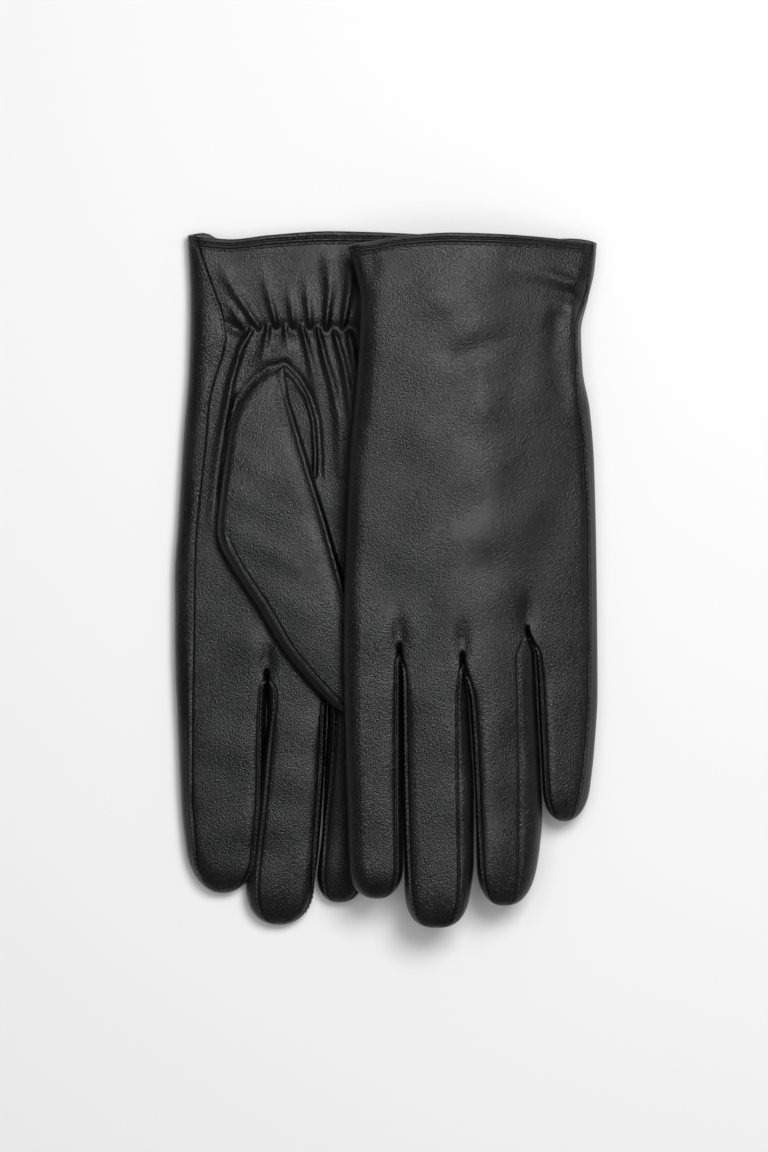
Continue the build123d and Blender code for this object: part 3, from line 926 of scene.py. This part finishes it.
def add_elastic(glove, webbing):
    """The tape that gathers the palm side of the wrist, between the leather and the lining."""
    palm_up = glove.palm_up
    outer, inner = (
        layer_patch(glove, ELASTIC_SPAN, ELASTIC_DEPTHS, palm_up, inset, ELASTIC_STEPS)
        for inset in ELASTIC_INSETS
    )
    shell = Shell()
    shell.add_alike(outer, "tape", not palm_up)
    shell.add_alike(inner, "tape", palm_up)
    ends = ((outer[0], inner[0]), (inner[-1], outer[-1]))
    sides = ((inner[:, 0], outer[:, 0]), (outer[:, -1], inner[:, -1]))
    for pair in ends + sides:
        shell.add_alike(np.stack(pair), "tape", palm_up)
    shell.merge()
    vertices, faces, _ = shell.piece("tape")
    obj = make_object(f"{glove.side}_wrist_elastic_tape", glove.place(*vertices.T), faces, webbing)
    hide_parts(f"{glove.side}_wrist_elastic")
    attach(obj, f"{glove.side}_hand")


def add_label(glove, satin):
    """The blank size tab, laid on the lining of the back just inside the cuff."""
    upper = not glove.palm_up
    low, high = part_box(f"{glove.side}_size_label")
    width, length = (high.x - low.x) / MM, (high.y - low.y) / MM
    centre = (low.x + high.x) / 2 / MM - glove.origin_x
    top = CUFF_Y - high.y / MM
    span = (centre - width / 2, centre + width / 2)
    grid = layer_patch(glove, span, (top, top + length), upper, LINING_INSET + LABEL_LIFT, LABEL_STEPS)
    shell = Shell()
    shell.add_alike(grid, "tab", upper)
    shell.merge()
    vertices, faces, normals = shell.piece("tab")
    obj = make_object(f"{glove.side}_size_tab", glove.place(*vertices.T), faces, satin, normals)
    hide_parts(f"{glove.side}_size_label")
    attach(obj, f"{glove.side}_hand")


# ---- stitches -----------------------------------------------------------------------------------------
def unit(v):
    """Vectors of length 1."""
    return v / np.maximum(np.linalg.norm(v, axis=-1, keepdims=True), 1e-9)


def stitch_row(path, up, pitch, length, radius):
    """Short dashes of thread along a path, dipping into the leather at both ends."""
    steps = np.linalg.norm(np.diff(path, axis=0), axis=1)
    travelled = np.concatenate([[0], np.cumsum(steps)])
    sides = THREAD_SIDES
    angles = np.arange(sides) * 2 * np.pi / sides
    vertices, faces = [], []

    def value(at, of):
        return np.array([np.interp(at, travelled, of[:, n]) for n in range(3)])

    for middle in np.arange(pitch, travelled[-1] - pitch / 2, pitch):
        rings = []
        for along, size, rise in STITCH_SHAPE:
            at = middle + along * length
            normal = unit(value(at, up))
            side = unit(np.cross(value(at + 0.2, path) - value(at - 0.2, path), normal))
            ring = np.cos(angles)[:, None] * side + np.sin(angles)[:, None] * normal
            rings.append(value(at, path) + rise * normal + radius * size * ring)
        base = len(vertices)
        vertices.extend(np.concatenate(rings))
        for r in range(len(STITCH_SHAPE) - 1):
            for k in range(sides):
                a, b = base + r * sides + k, base + r * sides + (k + 1) % sides
                faces.append((a, b, b + sides, a + sides))
        last = base + (len(STITCH_SHAPE) - 1) * sides
        faces.append(tuple(range(base + sides - 1, base - 1, -1)))
        faces.append(tuple(range(last, last + sides)))
    return vertices, faces


def path_on_skin(point_at, count):
    """Points along a line on the skin and the skin's outward direction there.

    point_at(t, sideways) gives the point at a share t of the line, sideways millimetres off it.
    """
    t = np.linspace(0, 1, count)
    path = point_at(t, 0.0)
    along = np.gradient(path, axis=0)
    sideways = point_at(t, 0.4) - point_at(t, -0.4)
    up = unit(np.cross(sideways, along))
    return path, up


def add_thread(name, glove, rows, thread, body=None, finger=None):
    """Rows of stitches as one piece, on a body, or baked where they lie for a finger."""
    vertices, faces = [], []
    for row_vertices, row_faces in rows:
        base = len(vertices)
        vertices.extend(row_vertices)
        faces.extend(tuple(v + base for v in face) for face in row_faces)
    obj = make_object(name, glove.place(*np.array(vertices).T), faces, thread)
    if finger:
        move_with_finger(obj)
    else:
        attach(obj, body)


def hem_stitches(glove):
    """Two rows round the mouth, on both sides of the glove."""
    first, last = glove.fingers[0].left(0) + 0.8, glove.fingers[3].right(0) - 0.8

    def row(upper, depth):
        def point_at(t, sideways):
            x = first + (last - first) * t
            s = np.full_like(x, depth) - sideways
            return skin(glove, 1, x, glove.below_cuff(x, s, upper), upper, s=s)

        path, up = path_on_skin(point_at, 400)
        up = up * np.sign(up[:, 2:3]) * (1 if upper else -1)
        return stitch_row(path, up, HEM_PITCH, HEM_STITCH, THREAD_RADIUS)

    return [row(upper, depth) for upper in (True, False) for depth in (STITCH_LINE, HEM)]


def seam_stitches(glove, i, right, start_y, end_y, on_finger):
    """One row along the ridge of a seam."""
    finger = glove.fingers[i]
    line = finger.right_seam if right else finger.left_seam
    outwards = 1 if right else -1

    def point_at(t, sideways):
        y = start_y + (end_y - start_y) * t
        x = line(y) + outwards * SEAM_STITCH_OFFSET + sideways
        s = None if on_finger else -y
        return skin(glove, i, x, y, True, s=s, on_finger=on_finger)

    path, up = path_on_skin(point_at, 300)
    up = up * np.sign(up[:, 2:3])
    return stitch_row(path, up, SEAM_PITCH, SEAM_STITCH, SEAM_THREAD_RADIUS)


def add_stitching(glove, thread):
    """All the stitches that show, in one piece for the hand and one for each finger."""
    hand_rows_of_thread = hem_stitches(glove)
    outer = (0, False) if glove.side_seam == "left" else (3, True)
    root_y = glove.root_ends[1 if outer[1] else 0]
    hand_rows_of_thread.append(seam_stitches(glove, *outer, -HEM - 1.0, root_y, False))
    body = f"{glove.side}_hand"
    add_thread(f"{glove.side}_hand_stitching", glove, hand_rows_of_thread, thread, body=body)
    for i, name in enumerate(FINGERS):
        finger = glove.fingers[i]
        end_y = finger.tip_y + 3.0
        rows = []
        for right in (False, True):
            k = i if right else i - 1
            if 0 <= k <= 2:
                rows.append(seam_stitches(glove, i, right, glove.forks[k] - 2.5, end_y, True))
            elif (i, right) == outer:
                rows.append(seam_stitches(glove, i, right, root_y - 0.5, end_y, True))
        if rows:
            add_thread(f"{glove.side}_{name}_stitching", glove, rows, thread, finger=name)


# ---- thumbs -------------------------------------------------------------------------------------------
def smooth_through(points):
    """A smooth curve through (x, y) points, as a function of a share from 0 to 1."""
    p = np.array(points, float)
    n = len(p) - 1
    slopes = np.gradient(p, axis=0)

    def at(t):
        u = np.clip(np.asarray(t, float), 0, 1) * n
        i = np.clip(np.floor(u).astype(int), 0, n - 1)
        f = (u - i)[:, None]
        return hermite(f, p[i], slopes[i], p[i + 1], slopes[i + 1])

    return at


@dataclass
class Thumb:
    """A thumb as a flat tube: its two side lines from the crotch to the tip, and its heights."""

    left: tuple
    right: tuple
    low: tuple  # height of its underside at the crotch and along the rest
    height: float
    seam_from: float  # share of the length from which the side band has a seam
    band: float = 3.6  # width of the side band

    def at(self, t, w, upper, inset=0.0):
        """A point at a share t of the length and a share w of the way across."""
        rise = ease(0, THUMB_RISE, t)
        left, right = smooth_through(self.left)(t), smooth_through(self.right)(t)
        width = np.linalg.norm(right - left, axis=1)
        flat = left + (right - left) * w[:, None]
        near_left, near_right = w * width, (1 - w) * width
        full = edge_round(near_left, 3.4) * edge_round(near_right, 2.6)
        ends = np.sqrt(np.clip(1 - (np.clip((t - 0.9) / 0.1, 0, 1)) ** 2, 0, 1))
        thick = (0.9 + (self.height - 0.9) * rise) * ends
        low = self.low[0] + (self.low[1] - self.low[0]) * rise
        out = thick / 2 * full
        if upper:
            inside = ease(0, 0.4, full) * ends
            seam = seam_relief(self.band - near_left) * ease(self.seam_from, self.seam_from + 0.06, t)
            rim = 0.45 * bell(near_right, 1.5, 1.0) * ease(0.02, 0.12, t)
            crown = 0.5 * np.sin(np.pi * w) - 0.35 * bell(near_right, 4.2, 2.0)
            out = out + inside * (seam + rim + crown + 0.12 * ripple(flat[:, 0], flat[:, 1], 21, 16.0))
        middle = low + self.height / 2 * rise + 0.45 * (1 - rise)
        if np.any(inset):
            centre = (left + right) / 2
            flat = centre + (flat - centre) * np.maximum(1 - 2 * inset / np.maximum(width, 0.5), 0.1)[:, None]
            out = np.maximum(out - inset * full, 0.1 * full)
        z = middle + (out if upper else -out)
        return np.stack([flat[:, 0], flat[:, 1], z], 1)


def right_thumb():
    """It lies on the palm, from its crotch under the elastic down to the left glove."""
    return Thumb(
        left=(
            (38.2, -49), (29.5, -54.4), (21.6, -66), (18.4, -82), (16.4, -97), (15.7, -110), (20.5, -120.6),
            (30.6, -136.4), (38.4, -149.8), (49.3, -163.2), (58.7, -172.2), (68, -176.4), (71.5, -176.6),
        ),
        right=(
            (39.6, -49.2), (41.6, -60), (44.3, -68.4), (46.8, -76.3), (50, -87), (54.4, -101), (58.3, -114.8),
            (62, -128), (65.5, -141), (70, -155), (73.5, -166), (74.6, -172.5), (72.0, -176.5),
        ),
        low=(8.7, 9.9),
        height=THUMB_HEIGHT,
        seam_from=0.40,
    )


def left_thumb():
    """It lies under the palm, beside the right glove's thumb."""
    base, angle = np.array(THUMB_PIVOTS["left"]), math.radians(-85)
    half_widths = (
        (-34, 0.6), (-26, 6), (-14, 12), (0, 15.8), (20, 14.4), (42, 11.8), (64, 9.6), (80, 7.8), (88, 5.4),
        (91.5, 0.3),
    )
    along = np.array([math.cos(angle), math.sin(angle)])
    aside = np.array([-along[1], along[0]])
    left, right = [], []
    for reach, half in half_widths:
        left.append(tuple(base + reach * along - half * aside))
        right.append(tuple(base + reach * along + half * aside))
    return Thumb(left=tuple(left), right=tuple(right), low=(15.0, 10.2), height=THUMB_HEIGHT, seam_from=0.3)


def thumb_mesh(thumb, inset, lengths=190, widths=64):
    """The vertices, faces and normals of a thumb, or of a layer inside it."""
    shell = Shell()
    turn = np.linspace(0, 1, lengths)
    t = turn - 0.018 * np.sin(2 * np.pi * turn)
    near = np.linspace(0, np.pi, widths)
    w = (1 - np.cos(near)) / 2 * 0.6 + near / np.pi * 0.4
    grid_t, grid_w = np.meshgrid(t, w, indexing="ij")
    for upper in (True, False):
        points = thumb.at(grid_t.ravel(), grid_w.ravel(), upper, inset).reshape(lengths, widths, 3)
        shell.add_alike(points, "thumb", not upper)
    shell.merge()
    return shell.piece("thumb")


def thumb_stitches(thumb):
    """One row along the seam of a thumb's side band."""

    def point_at(t, sideways):
        share = thumb.seam_from + 0.05 + (0.93 - thumb.seam_from) * t
        left, right = smooth_through(thumb.left)(share), smooth_through(thumb.right)(share)
        width = np.linalg.norm(right - left, axis=1)
        return thumb.at(share, np.clip((thumb.band - SEAM_STITCH_OFFSET + sideways) / width, 0, 0.9), True)

    path, up = path_on_skin(point_at, 300)
    up = up * np.sign(up[:, 2:3])
    return stitch_row(path, up, SEAM_PITCH, SEAM_STITCH, SEAM_THREAD_RADIUS)


def add_thumb(glove, thumb, leather, knit, thread):
    """The leather thumb, its lining and its seam, baked where they lie."""
    start = glove.place(*np.append(np.array(thumb.left[0]), 0.0))
    end = glove.place(*np.append(THUMB_PIVOTS[glove.side], 0.0))
    layers = (("leather", 0.0, leather, "leather"), ("lining_knit", THUMB_LINING_INSET, knit, "lining"))
    for name, inset, material, slot in layers:
        vertices, faces, normals = thumb_mesh(thumb, inset)
        points = glove.place(*vertices.T)
        obj = make_object(f"{glove.side}_thumb_{name}", points, faces, material, normals)
        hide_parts(f"{glove.side}_thumb" + ("_lining" if inset else ""))
        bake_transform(obj)
    vertices, faces = thumb_stitches(thumb)
    points = glove.place(*np.array(vertices).T)
    obj = make_object(f"{glove.side}_thumb_stitching", points, faces, thread)
    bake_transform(obj)


# ---- materials ----------------------------------------------------------------------------------------
class Nodes:
    """A small helper to wire a material's nodes."""

    def __init__(self, name):
        self.material = bpy.data.materials.new(name)
        self.material.use_nodes = True
        self.tree = self.material.node_tree
        self.shader = self.tree.nodes["Principled BSDF"]
        self.place = self.tree.nodes.new("ShaderNodeTexCoord").outputs["Object"]

    def put(self, socket, value):
        """A link from another node, or a plain value."""
        if isinstance(value, bpy.types.NodeSocket):
            self.tree.links.new(value, socket)
        else:
            socket.default_value = value

    def add(self, kind, settings=None, **inputs):
        node = self.tree.nodes.new(kind)
        for key, value in (settings or {}).items():
            setattr(node, key, value)
        for key, value in inputs.items():
            self.put(node.inputs[key.replace("_", " ")], value)
        return node

    def math(self, operation, a, b):
        node = self.tree.nodes.new("ShaderNodeMath")
        node.operation = operation
        self.put(node.inputs[0], a)
        self.put(node.inputs[1], b)
        return node.outputs[0]

    def noise(self, scale, detail=2.0, roughness=0.5):
        inputs = {"Scale": scale, "Detail": detail, "Roughness": roughness}
        return self.add("ShaderNodeTexNoise", Vector=self.place, **inputs).outputs["Fac"]

    def wave(self, direction, scale, distortion=0.0):
        settings = {"bands_direction": direction}
        node = self.add("ShaderNodeTexWave", settings, Vector=self.place, Scale=scale, Distortion=distortion)
        return node.outputs["Fac"]

    def vector_math(self, operation, a, b):
        node = self.tree.nodes.new("ShaderNodeVectorMath")
        node.operation = operation
        self.put(node.inputs[0], a)
        self.put(node.inputs[1], b)
        return node.outputs[0]

    def ramp(self, value, low, high, color_low, color_high):
        """A colour between two, as a value goes from low to high."""
        mix = self.tree.nodes.new("ShaderNodeMix")
        mix.data_type = "RGBA"
        self.put(mix.inputs["Factor"], self.between(value, low, high, 0.0, 1.0))
        mix.inputs["A"].default_value = (*color_low, 1)
        mix.inputs["B"].default_value = (*color_high, 1)
        return mix.outputs["Result"]

    def between(self, value, low, high, to_low, to_high):
        """A number between two, as a value goes from low to high."""
        limits = {"From_Min": low, "From_Max": high, "To_Min": to_low, "To_Max": to_high}
        return self.add("ShaderNodeMapRange", Value=value, **limits).outputs[0]

    def bump(self, height, strength, distance):
        node = self.add("ShaderNodeBump", Height=height, Strength=strength, Distance=distance)
        return node.outputs["Normal"]

    def finish(self, **inputs):
        """Sets the shader's own inputs."""
        for key, value in inputs.items():
            self.put(self.shader.inputs[key.replace("_", " ")], value)
        return self.material


def leather_material():
    """Black sheepskin in a satin finish: pebble grain with fine pores. Its base colour is lighter where the
    grain stands proud, a painted glint in place of the grain's highlights, and varies in broad random
    patches.
    """
    n = Nodes("black_nappa")
    warp = n.add("ShaderNodeTexNoise", Vector=n.place, Scale=420.0, Detail=2.0)
    shift = n.vector_math("MULTIPLY", warp.outputs["Color"], (0.0007, 0.0007, 0.0007))
    moved = n.vector_math("ADD", n.place, shift)
    smooth = {"feature": "SMOOTH_F1"}
    grain = n.add("ShaderNodeTexVoronoi", smooth, Vector=moved, Scale=1500.0, Smoothness=0.3)
    pores = n.noise(2100.0, roughness=0.6)
    broad = n.noise(38.0, detail=3.0)
    pebble = n.math("MULTIPLY", grain.outputs["Distance"], -0.55)
    height = n.math("ADD", pebble, n.math("MULTIPLY", pores, 1.15))
    patches = n.between(broad, 0.3, 0.7, 0.8, 1.15)
    # painted glint: the base colour follows the grain's height, lighter on its raised tops in place of their
    # highlights, plus broad random tone
    painted_glint_and_tone = n.math("ADD", height, n.math("MULTIPLY", broad, 0.3))
    return n.finish(
        Normal=n.bump(n.math("MULTIPLY", height, patches), 1.0, 0.00018),
        Base_Color=n.ramp(painted_glint_and_tone, 0.38, 0.72, (0.0008, 0.0008, 0.0010), (0.0085, 0.0083, 0.0092)),
        Roughness=n.between(broad, 0.3, 0.7, 0.26, 0.33),
        Specular_IOR_Level=0.5,
    )


def knit_material():
    """Fine black knit: rows of small loops."""
    n = Nodes("lining_knit")
    fuzz = n.noise(1900.0)
    loops = n.math("MULTIPLY", n.wave("X", 260.0, 0.6), n.wave("Y", 330.0, 0.8))
    height = n.math("ADD", loops, n.math("MULTIPLY", fuzz, 0.4))
    return n.finish(
        Normal=n.bump(height, 0.8, 0.00025),
        Base_Color=n.ramp(loops, 0.0, 0.8, (0.010, 0.010, 0.012), (0.035, 0.035, 0.04)),
        Roughness=n.between(fuzz, 0.3, 0.7, 0.85, 0.97),
        Sheen_Weight=0.35,
        Sheen_Roughness=0.5,
    )


def webbing_material():
    """Black elastic tape, ribbed along its length."""
    n = Nodes("elastic_webbing")
    ribs, weft = n.wave("Y", 300.0, 0.2), n.wave("X", 420.0, 0.4)
    height = n.math("ADD", ribs, n.math("MULTIPLY", weft, 0.5))
    return n.finish(
        Normal=n.bump(height, 0.7, 0.0002),
        Base_Color=n.ramp(ribs, 0.0, 1.0, (0.012, 0.012, 0.013), (0.03, 0.03, 0.032)),
        Roughness=n.between(weft, 0.0, 1.0, 0.7, 0.85),
    )


def satin_material():
    """A blank woven tab, dark grey with a fine satin weave."""
    n = Nodes("label_satin")
    warp, weft = n.wave("X", 900.0, 0.3), n.wave("Y", 700.0, 0.3)
    height = n.math("ADD", warp, n.math("MULTIPLY", weft, 0.6))
    return n.finish(
        Normal=n.bump(height, 0.5, 0.00008),
        Base_Color=n.ramp(height, 0.0, 1.6, (0.03, 0.03, 0.032), (0.06, 0.06, 0.065)),
        Roughness=n.between(weft, 0.0, 1.0, 0.38, 0.5),
    )


def thread_material():
    """Twisted black sewing thread."""
    n = Nodes("black_thread")
    twist = n.wave("DIAGONAL", 1500.0)
    return n.finish(
        Normal=n.bump(twist, 0.5, 0.00006),
        Base_Color=n.ramp(twist, 0.0, 1.0, (0.012, 0.012, 0.014), (0.03, 0.03, 0.034)),
        Roughness=n.between(twist, 0.0, 1.0, 0.25, 0.4),
    )


def floor_material():
    """A pale matt floor."""
    n = Nodes("pale_floor")
    tone = n.ramp(n.noise(2.0), 0.2, 0.8, (0.880, 0.881, 0.881), (0.890, 0.890, 0.890))
    return n.finish(Base_Color=tone, Roughness=0.9, Specular_IOR_Level=0.1)


# ---- floor, lights, camera ----------------------------------------------------------------------------
def add_floor(material):
    half, level = FLOOR_HALF, PAIR_LOW[2] * MM - FLOOR_GAP * MM
    corners = [(-half, -half, level), (half, -half, level), (half, half, level), (-half, half, level)]
    mesh = bpy.data.meshes.new("floor")
    mesh.from_pydata(corners, [], [(0, 1, 2, 3)])
    mesh.materials.append(material)
    floor = bpy.data.objects.new("floor", mesh)
    bpy.context.scene.collection.objects.link(floor)


def add_area(name, location, side, power):
    """A square light that points at the middle of the frame."""
    data = bpy.data.lights.new(name, "AREA")
    data.shape = "RECTANGLE"
    data.size = data.size_y = side
    data.energy = power
    light = bpy.data.objects.new(name, data)
    light.location = location
    direction = Vector((0, 0, 0)) - Vector(location)
    light.rotation_euler = direction.to_track_quat("-Z", "Y").to_euler()
    light.visible_camera = False
    bpy.context.scene.collection.objects.link(light)
    return light


def add_lights():
    """One soft key light, and a wide wash that the glossy leather doesn't mirror."""
    world = bpy.data.worlds.new("studio")
    world.use_nodes = True
    background = world.node_tree.nodes["Background"]
    background.inputs["Color"].default_value = (1.0, 1.0, 1.0, 1)
    background.inputs["Strength"].default_value = 0.15
    bpy.context.scene.world = world
    add_area("key", (0.31, 0.39, 1.1), 0.5, 9.5)
    wash = add_area("wash", (0, 0, 2.0), 2.0, 18.0)
    wash.visible_glossy = False


def add_camera():
    """Straight down, as in the photo, with a long lens."""
    data = bpy.data.cameras.new("camera")
    data.lens = 260
    data.sensor_width = 36
    data.clip_end = 20
    camera = bpy.data.objects.new("camera", data)
    middle = (PAIR_LOW + PAIR_HIGH) / 2
    camera.location = ((middle[0] - 0.6) * MM, (middle[1] + 1.15) * MM, 3.0)
    bpy.context.scene.collection.objects.link(camera)
    bpy.context.scene.camera = camera
    bpy.context.scene.view_settings.view_transform = "Standard"


def main():
    leather, knit, thread = leather_material(), knit_material(), thread_material()
    webbing, satin = webbing_material(), satin_material()
    for glove, thumb in ((right_glove(), right_thumb()), (left_glove(), left_thumb())):
        dress_leather(glove, leather)
        lining = dress_lining(glove, knit)
        add_elastic(glove, webbing)
        add_label(glove, satin)
        add_stitching(glove, thread)
        add_thumb(glove, thumb, leather, knit, thread)
    add_floor(floor_material())
    add_lights()
    add_camera()


main()
